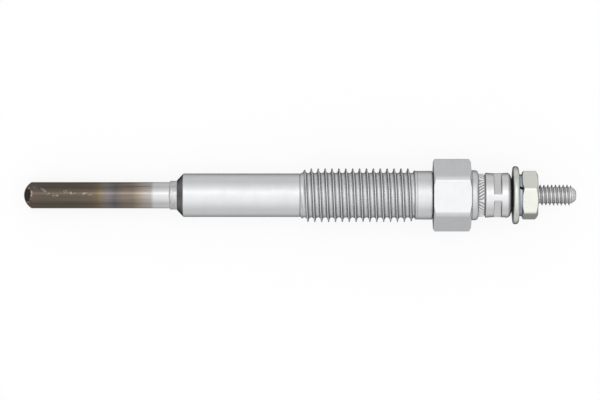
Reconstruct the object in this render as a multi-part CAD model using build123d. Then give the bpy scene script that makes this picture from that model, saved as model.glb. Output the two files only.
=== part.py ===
from build123d import *

import os
from math import ceil, cos, degrees, floor, pi, radians, sin, sqrt, tan

# A metal-sheathed diesel glow plug, lying along X with its heater tip at -X and its terminal at +X.
# The origin is on the axis, at the gauge circle where the sealing cone meets the barrel. One flat of
# the housing's hexagon looks straight up and its opposite one straight down. All sizes are in mm.

# Heater sheath: a tube drawn down in front, closed by a dome and pressed into the housing
SHEATH_DIAMETER = 4.78
SHEATH_WALL = 0.6
SHEATH_REACH = 28.95
SHEATH_TIP_RADIUS = 2.75
FLOOR_TAPER = 0.8
COLLAR_DIAMETER = 5.22
COLLAR_SHOW = 1.35
COLLAR_STEP = 0.2
SHEATH_GRIP = 17.0
WELD_DIAMETER = 1.1
WELD_DEPTH = 0.3

# Housing
SEAT_ANGLE = 93.0
SEAT_LIP = 0.12
BARREL_DIAMETER = 7.9
BARREL_LENGTH = 21.15
THREAD_DIAMETER = 9.75
THREAD_ROOT = 8.05
THREAD_ROOT_FLAT = 0.4
THREAD_PITCH = 1.25
THREAD_LENGTH = 20.95
THREAD_FIRST_CREST = 2.06
THREAD_LEAD_DIAMETER = 8.2
THREAD_LEAD_ANGLE = 36.0
THREAD_RUN_OUT_STEP = 0.07
THREAD_RUN_OUT_ANGLE = 24.0
THREAD_FACETS = 20
SHOULDER_DIAMETER = 8.84
SHOULDER_LENGTH = 3.05
SHOULDER_ROUND = 0.3
UNDERCUT_DIAMETER = 8.1
UNDERCUT_LENGTH = 0.15
HEX_WIDTH = 11.8
HEX_CORNERS = 13.15
HEX_LENGTH = 6.8
HEX_FRONT_FACE = 12.5
HEX_BACK_FACE = 11.8
HEX_CHAMFER_ANGLE = 30.0
LIP_DIAMETER = 9.1
LIP_LENGTH = 1.33
LIP_ROUND = 0.5
MAIN_BORE = 5.8
REAR_BORE = 6.6
BORE_TAPER = 30.0

# Centre rod and its terminal stud
ROD_DIAMETER = 3.5
ROD_NECK = 2.5
ROD_TIP_LENGTH = 2.4
ROD_TAPER = 30.0
STUD_DIAMETER = 3.85
STUD_ROOT = 2.9
STUD_SHOW = 7.0
STUD_CHAMFER = 0.3
STUD_END_DIAMETER = 1.15
STUD_END_LENGTH = 0.9
END_BULGE = 0.6

# Heater: wound wires, the lead welded in the tip and the packed powder around them
COIL_DIAMETER = 2.6
COIL_FACETS = 12
WIRE_DIAMETER = 0.36
WIRE_SIDES = 6
LEAD_DIAMETER = 0.3
LEAD_LENGTH = 1.0
HEATING_PITCH = 0.8
HEATING_TURNS = 5
CONTROL_PITCH = 1.5
CONTROL_TURNS = 4
CONTROL_HOLD = 1.8
WINDING_CLEARANCE = 0.02
SEAL_LENGTH = 3.2
SEAL_INSET = 0.4

# Insulator and the seal ring under it
FLANGE_DIAMETER = 7.84
FLANGE_LENGTH = 1.2
FLANGE_EDGE = 0.16
BUSH_INSERT = 3.2
BUSH_CLEARANCE = 0.03
RING_EDGE = 0.4
RING_ROOM = 1.55

# Crimped ferrule
FERRULE_DIAMETER = 8.18
FERRULE_WAIST = 7.95
FERRULE_WAIST_LENGTH = 1.9
FERRULE_LENGTH = 4.9
FERRULE_FRONT_EDGE = 0.35
FERRULE_END_DIAMETER = 5.8
FERRULE_END_LENGTH = 0.8
CRIMP_COUNT = 4
CRIMP_FLAT = 3.19
CRIMP_WIDTH = 1.45
CRIMP_FROM_FRONT = 2.3
CRIMP_TURN = 49.6

# Washers and nut
WASHER_DIAMETER = 10.55
WASHER_HOLE = 4.3
WASHER_THICKNESS = 1.27
WASHER_FRONT_ROUND = 0.35
WASHER_BACK_ROUND = 0.55
SPRING_DIAMETER = 7.6
SPRING_HOLE = 4.1
SPRING_THICKNESS = 0.6
SPRING_GAP = 0.5
SPRING_SLANT = 25.0
SPRING_TURN = -22.0
NUT_WIDTH = 8.0
NUT_HEIGHT = 2.85
NUT_FACE = 7.6
NUT_CHAMFER_ANGLE = 30.0
NUT_TURN = 13.1

# Radii
sheath_radius = SHEATH_DIAMETER / 2
collar_radius = COLLAR_DIAMETER / 2
barrel_radius = BARREL_DIAMETER / 2
rod_radius = ROD_DIAMETER / 2
neck_radius = ROD_NECK / 2
stud_radius = STUD_DIAMETER / 2
coil_radius = COIL_DIAMETER / 2
wire_radius = WIRE_DIAMETER / 2
# The wire is drawn with flat sides and a round wire's section area, so its corners stand out a little
wire_corner = wire_radius * sqrt(2 * pi / (WIRE_SIDES * sin(2 * pi / WIRE_SIDES)))
# It is wound in short straight bits, which come nearer to the axis in their middles than at their ends
bit_angle = pi / COIL_FACETS
coil_bore_radius = coil_radius * cos(bit_angle) - wire_corner - WINDING_CLEARANCE
coil_outer_radius = coil_radius + wire_corner / cos(bit_angle) + WINDING_CLEARANCE

# Places along the axis, from the tip to the terminal
tip_x = -SHEATH_REACH
seat_x = -(barrel_radius - collar_radius - SEAT_LIP) / tan(radians(SEAT_ANGLE / 2))
collar_x = seat_x - COLLAR_SHOW
sheath_end_x = SHEATH_GRIP
thread_x = BARREL_LENGTH
thread_end_x = thread_x + THREAD_LENGTH
shoulder_end_x = thread_end_x + SHOULDER_LENGTH
hex_x = shoulder_end_x + UNDERCUT_LENGTH
hex_end_x = hex_x + HEX_LENGTH
lip_end_x = hex_end_x + LIP_LENGTH
bush_x = lip_end_x - BUSH_INSERT
rear_bore_x = bush_x - RING_ROOM
flange_end_x = lip_end_x + FLANGE_LENGTH
ferrule_end_x = flange_end_x + FERRULE_LENGTH
washer_end_x = ferrule_end_x + WASHER_THICKNESS
spring_end_x = washer_end_x + SPRING_THICKNESS
nut_end_x = spring_end_x + NUT_HEIGHT
stud_end_x = nut_end_x + STUD_SHOW
weld_x = tip_x + SHEATH_WALL + WELD_DEPTH
heating_x = weld_x + LEAD_LENGTH
control_x = heating_x + HEATING_PITCH * HEATING_TURNS
control_end_x = control_x + CONTROL_PITCH * CONTROL_TURNS
rod_tip_x = control_end_x - CONTROL_HOLD
seal_x = sheath_end_x - SEAL_INSET - SEAL_LENGTH

# The winding starts this far round, in degrees, so that the lead's arm meets it under its first bit
first_turn = -degrees(wire_radius / coil_radius)


def turned(outline, rounds=()):
    """A solid turned about X from its (x, radius) corners, each named corner rounded over a length."""
    corners = [Vector(*corner) for corner in outline]
    lengths = dict(rounds)
    points = []
    for number, here in enumerate(corners):
        length = lengths.get(outline[number], 0)
        if length:
            before = corners[number - 1] - here
            after = corners[(number + 1) % len(corners)] - here
            start = here + before.normalized() * length
            end = here + after.normalized() * length
            points += [start, (start + here * 2 + end) * 0.25, end]
        else:
            points.append(here)
    return revolve(make_face(Polyline(*points, close=True)), Axis.X)


def bored(start, end, radius):
    """A plain round bar or bore along X."""
    return turned([(start, 0), (start, radius), (end, radius), (end, 0)])


def across_flats(width, start, end, turn=0.0):
    """What is milled away outside a hexagon of the given width, one flat facing +Z before the turn."""
    section = RegularPolygon(width / 2, 6, major_radius=False, rotation=turn)
    prism = extrude(Plane.YZ.offset(start) * section, end - start)
    return bored(start, end, width) - prism


def hex_blank(start, end, corners, front_face, back_face, angle):
    """The (x, radius) corners of a hexagon's turned blank, chamfered down to its two end faces."""
    slope = tan(radians(angle))
    return [
        (start, front_face / 2),
        (start + (corners - front_face / 2) * slope, corners),
        (end - (corners - back_face / 2) * slope, corners),
        (end, back_face / 2),
    ]


def on_helix(start, pitch, radius, turns):
    """The point on a right-hand helix about X after some turns, which starts at +Y."""
    angle = 2 * pi * turns
    return (start + pitch * turns, radius * cos(angle), radius * sin(angle))


def faceted(triangles):
    """The solid inside a closed surface of triangles."""
    return Solid(Shell([Face(Wire.make_polygon(corners)) for corners in triangles]))


def threaded_bar(start, end, first_crest):
    """A threaded bar in flat facets between ridge and root lines, a turn too long at both ends."""
    to_root = (THREAD_PITCH - THREAD_ROOT_FLAT) / 2
    section = [
        (0, THREAD_DIAMETER / 2),
        (to_root, THREAD_ROOT / 2),
        (to_root + THREAD_ROOT_FLAT, THREAD_ROOT / 2),
    ]
    before = ceil((first_crest - start) / THREAD_PITCH) + 2
    after = ceil((end - first_crest) / THREAD_PITCH) + 1
    lines = []
    for turn in range(-before, after):
        ridge = first_crest + turn * THREAD_PITCH
        row = [(ridge + past, radius) for past, radius in section]
        steps = range(THREAD_FACETS + 1)
        lines += [[on_helix(x, THREAD_PITCH, r, n / THREAD_FACETS) for n in steps] for x, r in row]
    triangles = []
    for line, following in zip(lines, lines[1:]):
        for near, far, far_next, near_next in zip(line, following, following[1:], line[1:]):
            triangles += [(near, far, far_next), (near, far_next, near_next)]
    # A line ends where the one a turn later starts, and the lines between those two close each end
    turn_lines = len(section)
    front = lines[0] + [line[0] for line in reversed(lines[:turn_lines])]
    back = lines[-1] + [line[-1] for line in reversed(lines[-1 - turn_lines : -1])][::-1]
    for loop, middle in ((front, lines[0][0][0]), (back, lines[-1][-1][0])):
        centre = (middle, 0, 0)
        triangles += [(centre, here, after) for here, after in zip(loop, loop[1:])]
    return faceted(triangles)


def engine_thread():
    """The engine thread, which a lead cone and a run-out cone end on the barrel and the shoulder."""
    lead = tan(radians(THREAD_LEAD_ANGLE))
    run_out = tan(radians(THREAD_RUN_OUT_ANGLE))
    front, back = THREAD_LEAD_DIAMETER / 2, SHOULDER_DIAMETER / 2 - THREAD_RUN_OUT_STEP
    room = THREAD_DIAMETER / 2 + THREAD_RUN_OUT_STEP
    ends = turned(
        [
            (thread_x, 0),
            (thread_x, front),
            (thread_x + (room - front) / lead, room),
            (thread_end_x - (room - back) / run_out, room),
            (thread_end_x, back),
            (thread_end_x, 0),
        ]
    )
    return threaded_bar(thread_x, thread_end_x, thread_x + THREAD_FIRST_CREST) & ends


def body_shell():
    """The housing: cone, barrel, thread, shoulder, hexagon and lip over a stepped bore."""
    shoulder = SHOULDER_DIAMETER / 2
    undercut = UNDERCUT_DIAMETER / 2
    core = (MAIN_BORE + THREAD_ROOT) / 4
    hexagon = hex_blank(
        hex_x, hex_end_x, HEX_CORNERS / 2, HEX_FRONT_FACE, HEX_BACK_FACE, HEX_CHAMFER_ANGLE
    )
    outside = [
        (seat_x, collar_radius + SEAT_LIP),
        (0, barrel_radius),
        (thread_x, barrel_radius),
        (thread_x, core),
        (thread_end_x, core),
        (thread_end_x, shoulder),
        (shoulder_end_x, shoulder),
        (shoulder_end_x, undercut),
        (hex_x, undercut),
        *hexagon,
        (hex_end_x, LIP_DIAMETER / 2),
        (lip_end_x, LIP_DIAMETER / 2),
    ]
    axis = [(lip_end_x, 0), (seat_x, 0)]
    main, rear = MAIN_BORE / 2, REAR_BORE / 2
    flare = tan(radians(BORE_TAPER))
    inside = [
        (lip_end_x, rear),
        (rear_bore_x, rear),
        (rear_bore_x, main),
        (sheath_end_x + (main - collar_radius) / flare, main),
        (sheath_end_x, collar_radius),
        (seat_x, collar_radius),
    ]
    rounds = [
        ((shoulder_end_x, shoulder), SHOULDER_ROUND),
        ((lip_end_x, LIP_DIAMETER / 2), LIP_ROUND),
    ]
    blank = turned(outside + axis, rounds) - across_flats(HEX_WIDTH, hex_x, hex_end_x)
    return blank + engine_thread() - turned(inside + axis[::-1])


def sheath_cavity(end):
    """The room inside the sheath, from its tapered floor to the given x."""
    front, rear = sheath_radius - SHEATH_WALL, collar_radius - SHEATH_WALL
    floor = tip_x + SHEATH_WALL
    return turned(
        [
            (floor, 0),
            (floor, front - FLOOR_TAPER),
            (floor + FLOOR_TAPER, front),
            (collar_x, front),
            (collar_x + COLLAR_STEP, rear),
            (end, rear),
            (end, 0),
        ]
    )


def glow_tube():
    """The sheath: drawn tube with its full-size collar, domed tip and the weld pool inside it."""
    dome_depth = SHEATH_TIP_RADIUS - sqrt(SHEATH_TIP_RADIUS**2 - sheath_radius**2)
    tube = turned(
        [
            (tip_x + dome_depth, 0),
            (tip_x + dome_depth, sheath_radius),
            (collar_x, sheath_radius),
            (collar_x + COLLAR_STEP, collar_radius),
            (sheath_end_x, collar_radius),
            (sheath_end_x, 0),
        ]
    )
    ball = Pos(tip_x + SHEATH_TIP_RADIUS, 0, 0) * Sphere(SHEATH_TIP_RADIUS)
    dome = bored(tip_x, tip_x + dome_depth, sheath_radius) & ball
    weld = bored(tip_x + SHEATH_WALL / 2, weld_x, WELD_DIAMETER / 2)
    return (tube + dome) - sheath_cavity(sheath_end_x) + weld


def wound(start, pitch, turns, turn):
    """A wire wound about X from the given x, which starts straight above the axis plus a turn."""
    bits = range(COIL_FACETS * turns + 1)
    route = Polyline([on_helix(start, pitch, coil_radius, bit / COIL_FACETS) for bit in bits])
    section = Plane(route @ 0, z_dir=route % 0) * RegularPolygon(wire_corner, WIRE_SIDES)
    return Rot(X=90 + turn) * sweep(section, path=route, transition=Transition.RIGHT)


def lead_wire(radius):
    """The straight lead along the axis and the arm that takes it out to the first turn."""
    lead = bored(weld_x, heating_x, radius)
    arm = Pos(heating_x, 0, -radius) * extrude(Circle(radius), radius + coil_radius)
    return lead + arm


def heating_coil():
    """The front winding, with its lead welded in the tip of the sheath."""
    winding = wound(heating_x, HEATING_PITCH, HEATING_TURNS, first_turn)
    return winding + lead_wire(LEAD_DIAMETER / 2)


def control_coil():
    """The rear winding, which runs from the heating coil to its hold on the rod's tip."""
    weld_turn = degrees((2 * wire_corner * tan(bit_angle) + WINDING_CLEARANCE) / coil_radius)
    return wound(control_x, CONTROL_PITCH, CONTROL_TURNS, first_turn + weld_turn)


def magnesia_filling():
    """The packed powder: all the room in the sheath that the wires and the rod leave."""
    channel_x = heating_x - wire_corner - WINDING_CLEARANCE
    channel_end_x = control_end_x + wire_corner + WINDING_CLEARANCE
    channel = bored(channel_x, channel_end_x, coil_outer_radius)
    core = bored(channel_x, channel_end_x, coil_bore_radius)
    weld = bored(tip_x, weld_x, WELD_DIAMETER / 2)
    lead = lead_wire(LEAD_DIAMETER / 2 + WINDING_CLEARANCE)
    return sheath_cavity(seal_x) - (channel - core) - weld - lead - centre_rod()


def sheath_seal():
    """The rubber plug between the sheath's open end and the rod's neck."""
    return turned(
        [
            (seal_x, neck_radius),
            (seal_x, collar_radius - SHEATH_WALL),
            (seal_x + SEAL_LENGTH, collar_radius - SHEATH_WALL),
            (seal_x + SEAL_LENGTH, neck_radius),
        ]
    )


def centre_rod():
    """The rod: tip in the winding, neck through the seal, shank, and stud with a rounded lead end."""
    tip_end_x = rod_tip_x + ROD_TIP_LENGTH
    taper = tan(radians(ROD_TAPER))
    root, end = STUD_ROOT / 2, STUD_END_DIAMETER / 2
    thread_stop = stud_end_x - STUD_END_LENGTH
    return turned(
        [
            (rod_tip_x, 0),
            (rod_tip_x, coil_bore_radius),
            (tip_end_x, coil_bore_radius),
            (tip_end_x + (neck_radius - coil_bore_radius) / taper, neck_radius),
            (sheath_end_x, neck_radius),
            (sheath_end_x, rod_radius),
            (flange_end_x, rod_radius),
            (flange_end_x, stud_radius),
            (thread_stop - STUD_CHAMFER, stud_radius),
            (thread_stop, root),
            (stud_end_x - STUD_END_LENGTH * END_BULGE, end + (root - end) * END_BULGE),
            (stud_end_x, end),
            (stud_end_x, 0),
        ]
    )


def insulator_bush():
    """The moulded insulator: an insert in the housing's rear bore and the flange that shows."""
    flange = FLANGE_DIAMETER / 2
    insert = REAR_BORE / 2 - BUSH_CLEARANCE
    return turned(
        [
            (bush_x, rod_radius),
            (bush_x, insert),
            (lip_end_x, insert),
            (lip_end_x, flange),
            (flange_end_x - FLANGE_EDGE, flange),
            (flange_end_x, flange - FLANGE_EDGE),
            (flange_end_x, rod_radius),
        ]
    )


def o_ring():
    """The rubber ring, pressed square between the rear bore, its floor, the insulator and the rod."""
    inner, outer, edge = rod_radius, REAR_BORE / 2, RING_EDGE
    return turned(
        [
            (rear_bore_x, inner + edge),
            (rear_bore_x, outer - edge),
            (rear_bore_x + edge, outer),
            (bush_x - edge, outer),
            (bush_x, outer - edge),
            (bush_x, inner + edge),
            (bush_x - edge, inner),
            (rear_bore_x + edge, inner),
        ]
    )


def crimp_ferrule():
    """The waisted ring on the stud, crimped flat on four sides."""
    outer, waist = FERRULE_DIAMETER / 2, FERRULE_WAIST / 2
    front, end = flange_end_x, ferrule_end_x
    front_edge = (front + FERRULE_FRONT_EDGE / 2, outer)
    back_edge = (end - FERRULE_END_LENGTH, outer)
    neck_x = front + CRIMP_FROM_FRONT
    ring = turned(
        [
            (front, stud_radius),
            (front, outer - FERRULE_FRONT_EDGE),
            front_edge,
            (neck_x - FERRULE_WAIST_LENGTH / 2, waist),
            (neck_x + FERRULE_WAIST_LENGTH / 2, waist),
            back_edge,
            (end - FERRULE_END_LENGTH / 4, outer - (outer - FERRULE_END_DIAMETER / 2) / 2),
            (end, FERRULE_END_DIAMETER / 2),
            (end, stud_radius),
        ]
    )
    depth = outer
    die = Pos(front + CRIMP_FROM_FRONT, 0, CRIMP_FLAT + depth / 2) * Box(
        CRIMP_WIDTH, 2 * outer, depth
    )
    for number in range(CRIMP_COUNT):
        ring -= Rot(X=CRIMP_TURN + number * 360 / CRIMP_COUNT) * die
    return ring


def flat_washer():
    """The plain washer, with its rim well rounded behind."""
    rim, hole = WASHER_DIAMETER / 2, WASHER_HOLE / 2
    front, back = (ferrule_end_x, rim), (washer_end_x, rim)
    corners = [(ferrule_end_x, hole), front, back, (washer_end_x, hole)]
    return turned(corners, [(front, WASHER_FRONT_ROUND), (back, WASHER_BACK_ROUND)])


def lock_washer():
    """The split spring washer, pressed flat under the nut."""
    rim, hole = SPRING_DIAMETER / 2, SPRING_HOLE / 2
    ring = turned(
        [(washer_end_x, hole), (washer_end_x, rim), (spring_end_x, rim), (spring_end_x, hole)]
    )
    middle = (washer_end_x + spring_end_x) / 2
    split = Rot(Z=SPRING_SLANT) * Box(2 * SPRING_THICKNESS + rim, SPRING_GAP, 2 * rim)
    return ring - Rot(X=SPRING_TURN) * Pos(middle, 0, rim) * split


def hex_nut():
    """The nut, chamfered on both sides."""
    corners = NUT_WIDTH / sqrt(3)
    blank = hex_blank(spring_end_x, nut_end_x, corners, NUT_FACE, NUT_FACE, NUT_CHAMFER_ANGLE)
    bore = [(nut_end_x, stud_radius), (spring_end_x, stud_radius)]
    flats = across_flats(NUT_WIDTH, spring_end_x, nut_end_x, NUT_TURN)
    return turned(blank + bore) - flats


PARTS = {
    "glow_tube": glow_tube,
    "body_shell": body_shell,
    "heating_coil": heating_coil,
    "control_coil": control_coil,
    "magnesia_filling": magnesia_filling,
    "centre_rod": centre_rod,
    "sheath_seal": sheath_seal,
    "o_ring": o_ring,
    "insulator_bush": insulator_bush,
    "crimp_ferrule": crimp_ferrule,
    "flat_washer": flat_washer,
    "lock_washer": lock_washer,
    "hex_nut": hex_nut,
}

os.makedirs("parts", exist_ok=True)
for name, make in PARTS.items():
    export_step(make(), f"parts/{name}.step")
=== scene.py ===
"""The looks of a metal-sheathed diesel glow plug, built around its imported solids.

The plug lies along X, with its heater tip at -X and its terminal at +X, and its axis is the line
y = z = 0. Lengths are written in millimetres and turned into metres when a mesh is made. An angle
round the axis starts at +Y and grows towards +Z.
"""

import logging
import math
from dataclasses import dataclass, field
from enum import Enum
from functools import reduce
from typing import Any, Callable, Mapping, Sequence

import bmesh
import bpy
import numpy as np
from mathutils import Matrix, Vector


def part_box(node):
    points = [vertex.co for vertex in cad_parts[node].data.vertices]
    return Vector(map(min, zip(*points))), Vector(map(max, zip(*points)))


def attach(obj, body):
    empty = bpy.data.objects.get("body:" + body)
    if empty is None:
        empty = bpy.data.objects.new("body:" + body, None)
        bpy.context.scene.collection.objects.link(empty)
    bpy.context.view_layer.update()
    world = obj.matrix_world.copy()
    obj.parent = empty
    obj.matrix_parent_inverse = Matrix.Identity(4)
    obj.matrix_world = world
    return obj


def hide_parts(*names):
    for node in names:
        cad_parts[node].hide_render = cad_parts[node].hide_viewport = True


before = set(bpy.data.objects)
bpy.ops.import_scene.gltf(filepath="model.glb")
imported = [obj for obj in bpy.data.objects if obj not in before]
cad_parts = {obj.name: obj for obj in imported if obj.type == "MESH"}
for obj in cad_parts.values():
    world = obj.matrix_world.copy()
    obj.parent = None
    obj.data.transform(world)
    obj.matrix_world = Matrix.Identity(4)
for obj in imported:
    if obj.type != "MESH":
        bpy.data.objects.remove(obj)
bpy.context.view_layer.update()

LOG = logging.getLogger("glow_plug")
MM = 0.001
PLUG_BODY = "root"
MERGE_DISTANCE = 0.002
THINNEST_EDGE = 0.0005
SHARP_EDGE = math.radians(38.0)
FULL_TURN = 2 * math.pi

Colour = tuple[float, float, float, float]
Triple = tuple[float, float, float]
Pair = tuple[float, float]
Points = list[tuple[float, float]]
Stroke = tuple[float, float, float, float]
Waves = tuple[tuple[float, int, float], ...]

WHITE: Colour = (1.0, 1.0, 1.0, 1.0)


def paint(red: float, green: float, blue: float) -> Colour:
    """Turn a colour as it looks on screen into the linear values that a shader takes.

    Args:
        red: Red, from 0 to 255.
        green: Green, from 0 to 255.
        blue: Blue, from 0 to 255.

    Returns:
        The linear colour, with an alpha of 1.
    """
    linear = [
        value / 12.92 if value <= 0.04045 else ((value + 0.055) / 1.055) ** 2.4
        for value in (red / 255, green / 255, blue / 255)
    ]
    return (linear[0], linear[1], linear[2], 1.0)


def grey(level: float) -> Colour:
    """Turn a grey as it looks on screen, from 0 to 255, into a linear colour."""
    return paint(level, level, level)


class Shade:
    """A socket of a shader, with the maths that the finishes need written as plain expressions."""

    def __init__(self, graph: "Graph", socket: bpy.types.NodeSocket | None) -> None:
        """Keep the socket and the graph that it belongs to."""
        self.graph = graph
        self.socket = socket

    def _math(self, operation: str, *values: "Shade | float", clamp: bool = False) -> "Shade":
        """Add one Math node that takes the given values."""
        settings = {"operation": operation, "use_clamp": clamp}
        return self.graph.node("ShaderNodeMath", settings, dict(enumerate(values)))

    def __add__(self, other: "Shade | float") -> "Shade":
        """Add."""
        return self._math("ADD", self, other)

    def __radd__(self, other: float) -> "Shade":
        """Add to a number."""
        return self._math("ADD", other, self)

    def __sub__(self, other: "Shade | float") -> "Shade":
        """Subtract."""
        return self._math("SUBTRACT", self, other)

    def __rsub__(self, other: float) -> "Shade":
        """Subtract from a number."""
        return self._math("SUBTRACT", other, self)

    def __mul__(self, other: "Shade | float") -> "Shade":
        """Multiply."""
        return self._math("MULTIPLY", self, other)

    def __rmul__(self, other: float) -> "Shade":
        """Multiply a number."""
        return self._math("MULTIPLY", other, self)

    def __truediv__(self, other: "Shade | float") -> "Shade":
        """Divide."""
        return self._math("DIVIDE", self, other)

    def __pow__(self, other: float) -> "Shade":
        """Raise to a power."""
        return self._math("POWER", self, other)

    def __abs__(self) -> "Shade":
        """Drop the sign."""
        return self._math("ABSOLUTE", self)

    def held(self) -> "Shade":
        """Hold the value between 0 and 1."""
        return self._math("ADD", self, 0.0, clamp=True)

    def least(self, other: "Shade | float") -> "Shade":
        """Give the smaller of two values."""
        return self._math("MINIMUM", self, other)

    def angle_over(self, across: "Shade") -> "Shade":
        """Give the angle of a point that is this high, and so far across."""
        return self._math("ARCTAN2", self, across)

    def step(self, start: float, end: float) -> "Shade":
        """Rise smoothly from 0 at one value to 1 at another.

        Args:
            start: The value at which the result is 0.
            end: The value at which the result is 1, and it may be the smaller one.

        Returns:
            The smooth step, between 0 and 1.
        """
        falls = end < start
        low, high = (end, start) if falls else (start, end)
        sockets = {"Value": self, 1: low, 2: high}
        rise = self.graph.node("ShaderNodeMapRange", {"interpolation_type": "SMOOTHSTEP"}, sockets)
        return 1.0 - rise if falls else rise

    def other(self, output: str) -> "Shade":
        """Give another output of the same node."""
        return Shade(self.graph, self.socket.node.outputs[output])


class Graph:
    """The nodes of one material or world, with one short way to add any of them."""

    def __init__(self, owner: bpy.types.Material | bpy.types.World) -> None:
        """Start the owner's node tree from nothing.

        Args:
            owner: The material or world that the nodes belong to.
        """
        owner.use_nodes = True
        self.tree = owner.node_tree
        self.tree.nodes.clear()

    def node(
        self,
        kind: str,
        settings: Mapping[str, Any] | None = None,
        sockets: Mapping[int | str, Any] | None = None,
        output: int | str = 0,
    ) -> Shade:
        """Add a node, make its settings and feed its sockets.

        Args:
            kind: The node's type name.
            settings: What is set on the node first, with a colour ramp's stops under "stops".
            sockets: Values, or shades to link, by socket name or number.
            output: The output that is wanted.

        Returns:
            The wanted output.
        """
        node = self.tree.nodes.new(kind)
        for key, value in (settings or {}).items():
            if key == "stops":
                self._set_stops(node.color_ramp, value)
            else:
                setattr(node, key, value)
        for key, value in (sockets or {}).items():
            if isinstance(value, Shade):
                self.tree.links.new(value.socket, node.inputs[key])
            else:
                node.inputs[key].default_value = value
        return Shade(self, node.outputs[output] if len(node.outputs) else None)

    @staticmethod
    def _set_stops(ramp: bpy.types.ColorRamp, stops: Sequence[tuple[float, Colour]]) -> None:
        """Give a colour ramp its stops.

        Args:
            ramp: The ramp.
            stops: Each stop's place, from 0 to 1, and its colour.
        """
        while len(ramp.elements) > 1:
            ramp.elements.remove(ramp.elements[-1])
        ramp.elements[0].position, ramp.elements[0].color = stops[0]
        for position, colour in stops[1:]:
            ramp.elements.new(position).color = colour

    def vector(self, operation: str, sockets: Mapping[int | str, Any]) -> Shade:
        """Add a Vector Math node."""
        return self.node("ShaderNodeVectorMath", {"operation": operation}, sockets)

    def split(self, vector: Shade) -> tuple[Shade, Shade, Shade]:
        """Give the three parts of a vector."""
        part = self.node("ShaderNodeSeparateXYZ", sockets={"Vector": vector})
        return part, part.other("Y"), part.other("Z")

    def mix(self, first: Shade | Colour, second: Shade | Colour, share: Shade | float) -> Shade:
        """Blend two colours.

        Args:
            first: The colour at a share of 0.
            second: The colour at a share of 1.
            share: How much of the second colour shows.

        Returns:
            The blended colour.
        """
        sockets = {"Factor": share, 6: first, 7: second}
        return self.node("ShaderNodeMix", {"data_type": "RGBA"}, sockets, output=2)


@dataclass(frozen=True)
class Pattern:
    """A soft random pattern over a surface.

    Attributes:
        scale: How often it repeats for each mm.
        detail: How many finer layers it has.
        rough: How strong the finer layers are.
        stretch: How many times faster it changes along each axis.
        offset: How far it is moved along each axis, so that two patterns differ.
        turn: By which angles its lines are turned, in radians.
        edges: Between which of its values a patch fades in.
    """

    scale: float
    detail: float = 2.0
    rough: float = 0.5
    stretch: Triple = (1.0, 1.0, 1.0)
    offset: Triple = (0.0, 0.0, 0.0)
    turn: Triple = (0.0, 0.0, 0.0)
    edges: Pair = (0.0, 1.0)


class Spot:
    """The point of a surface that is being shaded, in millimetres in the plug's own frame."""

    def __init__(self, graph: Graph) -> None:
        """Read the point.

        Args:
            graph: The graph of the surface's material.
        """
        self.graph = graph
        point = graph.node("ShaderNodeTexCoord", output="Object")
        self.place = graph.vector("SCALE", {0: point, "Scale": 1 / MM})
        self.x, self.y, self.z = graph.split(self.place)

    def radius(self) -> Shade:
        """Give how far the point is from the plug's axis."""
        return (self.y**2.0 + self.z**2.0) ** 0.5

    def noise(self, pattern: Pattern) -> Shade:
        """Read a pattern at the point.

        Args:
            pattern: The pattern.

        Returns:
            Its value there, between 0 and 1.
        """
        place = self.place
        if any(pattern.turn):
            sockets = {"Vector": place, "Rotation": pattern.turn}
            place = self.graph.node("ShaderNodeVectorRotate", {"rotation_type": "EULER_XYZ"}, sockets)
        place = self.graph.vector("ADD", {0: place, 1: pattern.offset})
        place = self.graph.vector("MULTIPLY", {0: place, 1: pattern.stretch})
        sockets = {
            "Vector": place,
            "Scale": pattern.scale,
            "Detail": pattern.detail,
            "Roughness": pattern.rough,
        }
        return self.graph.node("ShaderNodeTexNoise", {"noise_dimensions": "3D"}, sockets)

    def patches(self, pattern: Pattern) -> Shade:
        """Read a pattern's patches at the point: 1 in a patch and 0 outside it."""
        return self.noise(pattern).step(*pattern.edges)


def worked(x: float, y: float, z: float) -> Pattern:
    """Give the marks of a way of working, from how fast they change along each axis."""
    return Pattern(1.0, 3.0, 0.6, stretch=(x, y, z))


class Grain(Enum):
    """How a surface was worked, as the pattern of its marks."""

    TURNED = worked(5.0, 0.3, 0.3)
    DRAWN = worked(0.22, 5.5, 5.5)
    TUMBLED = worked(2.6, 2.6, 2.6)
    MOULDED = worked(1.4, 1.4, 1.4)


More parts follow.
